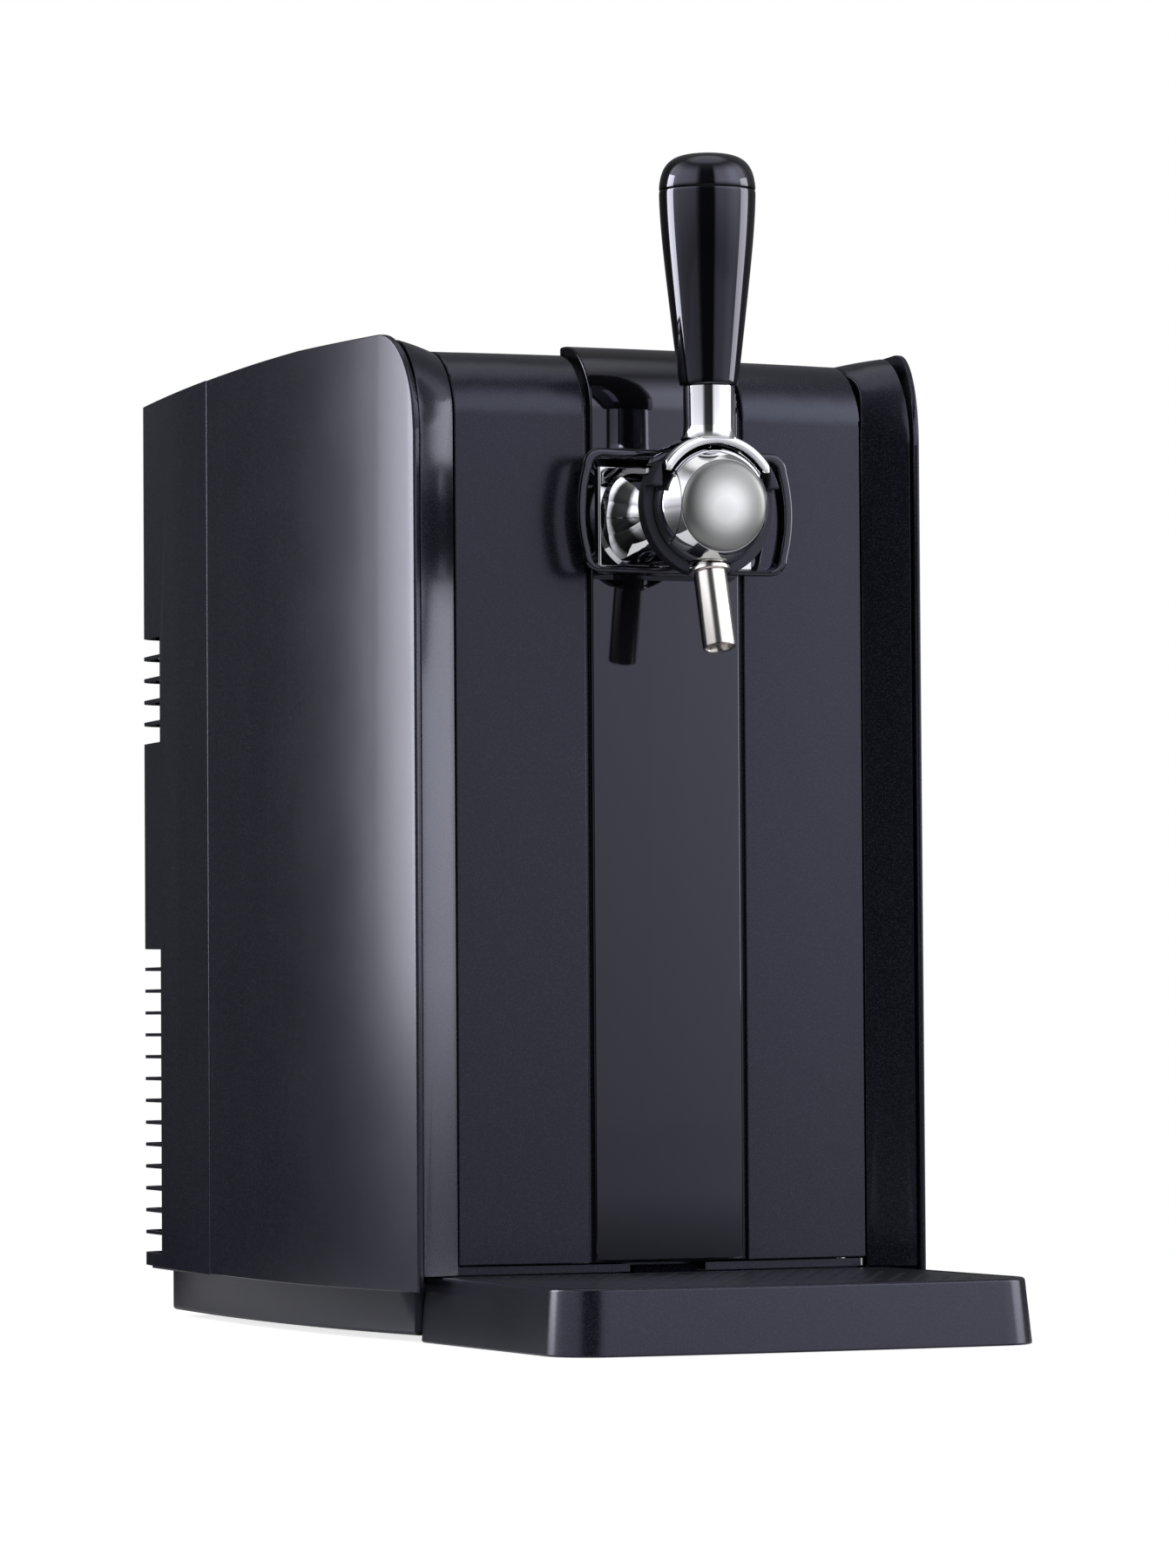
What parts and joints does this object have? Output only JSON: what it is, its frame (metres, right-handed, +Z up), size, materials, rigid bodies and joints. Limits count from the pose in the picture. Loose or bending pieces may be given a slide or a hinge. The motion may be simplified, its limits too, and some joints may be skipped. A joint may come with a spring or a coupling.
{
  "type": "mini keg beer dispenser",
  "caption": "Cooled cabinet for a small beer keg, with a hinged door that carries a lever tap, a slide-out drip tray with a lift-out grid, and louvres at the rear.",
  "frame": {"origin": "middle of the footprint's bounding box, on the table", "axes": "+X to the right seen from the front, +Y from the tap to the rear, +Z up"},
  "size_m": [0.2644, 0.458, 0.495],
  "materials": {
    "charcoal_plastic": "satin, fine metallic speckle",
    "base_grey": "satin",
    "gloss_black": "high gloss",
    "chrome": "polished",
    "satin_metal": "satin",
    "black_plastic": "matt",
    "grid_dark": "satin",
    "liner_plastic": "smooth",
    "foam": "cellular",
    "rubber": "matt",
    "aluminium": "extruded",
    "plate_steel": "powder coated",
    "ceramic": "ceramic plates",
    "board": "printed circuit board",
    "display_cover": "smoked window"
  },
  "bodies": {
    "cabinet": {"air_hose": "rubber", "air_nozzle": "satin_metal", "air_pump": "black_plastic", "base_plinth": "base_grey", "board_standoffs": "black_plastic", "bulkhead": "plate_steel", "catch_plate": "satin_metal", "chamber_frame": "liner_plastic", "chamber_liner": "liner_plastic", "cold_plate": "aluminium", "control_board": "board", "cooling_module": "ceramic", "cover_posts": "satin_metal", "display_board": "board", "display_window": "display_cover", "fan_frame": "black_plastic", "fan_screws": "satin_metal", "front_sill": "charcoal_plastic", "heat_sink": "aluminium", "insulation_jacket": "foam", "keg_seat": "liner_plastic", "left_cheek": "charcoal_plastic", "left_side_panel": "charcoal_plastic", "lower_hinge": "satin_metal", "power_inlet": "black_plastic", "power_supply": "plate_steel", "rear_cover": "charcoal_plastic", "rear_screws": "satin_metal", "right_cheek": "charcoal_plastic", "right_side_panel": "charcoal_plastic", "rubber_feet": "rubber", "switch_body": "black_plastic", "temperature_probe": "satin_metal", "top_cover": "charcoal_plastic", "upper_hinge": "satin_metal"},
    "door": {"door_shell": "charcoal_plastic", "centre_strip": "gloss_black", "door_foam": "foam", "door_liner": "liner_plastic", "door_gasket": "rubber", "door_bushes": "black_plastic", "door_magnet": "satin_metal", "tap_surround": "gloss_black", "tap_plate": "chrome", "tap_neck_upper": "chrome", "tap_neck_lower": "chrome", "tap_ring": "black_plastic", "ball_shell": "chrome", "ball_cap": "satin_metal", "lever_pin": "satin_metal", "spout": "satin_metal", "spout_collar": "satin_metal"},
    "tap_lever": {"lever_yoke": "chrome", "handle_grip": "gloss_black", "handle_cap": "gloss_black"},
    "valve": {"valve_slider": "black_plastic"},
    "tray": {"drip_tray": "charcoal_plastic"},
    "grid": {"drip_grid": "grid_dark"},
    "fan": {"fan_rotor": "black_plastic"},
    "rocker": {"switch_rocker": "black_plastic"}
  },
  "joints": [
    {"name": "door_swing", "type": "hinge", "parent": "cabinet", "child": "door", "pos_m": [0.085, -0.0782, 0.2], "axis": [0, 0, 1], "range_deg": [0, 95]},
    {"name": "lever_pull", "type": "hinge", "parent": "door", "child": "tap_lever", "pos_m": [0, -0.1315, 0.348], "axis": [1, 0, 0], "range_deg": [0, 32]},
    {"name": "valve_travel", "type": "slide", "parent": "door", "child": "valve", "axis": [0, 1, 0], "range_m": [0, 0.003]},
    {"name": "tray_slide", "type": "slide", "parent": "cabinet", "child": "tray", "axis": [0, -1, 0], "range_m": [0, 0.1]},
    {"name": "grid_lift", "type": "slide", "parent": "tray", "child": "grid", "axis": [0, 0, -1], "range_m": [-0.03, 0]},
    {"name": "fan_spin", "type": "hinge", "parent": "cabinet", "child": "fan", "pos_m": [0, 0.19, 0.11], "axis": [0, 1, 0], "continuous": true},
    {"name": "switch_rock", "type": "hinge", "parent": "cabinet", "child": "rocker", "pos_m": [-0.024, 0.223, 0.215], "axis": [1, 0, 0], "range_deg": [0, 10]}
  ],
  "couplings": [
    {"joint": "valve_travel", "follows": "lever_pull", "m_per_rad": 0.0052}
  ]
}
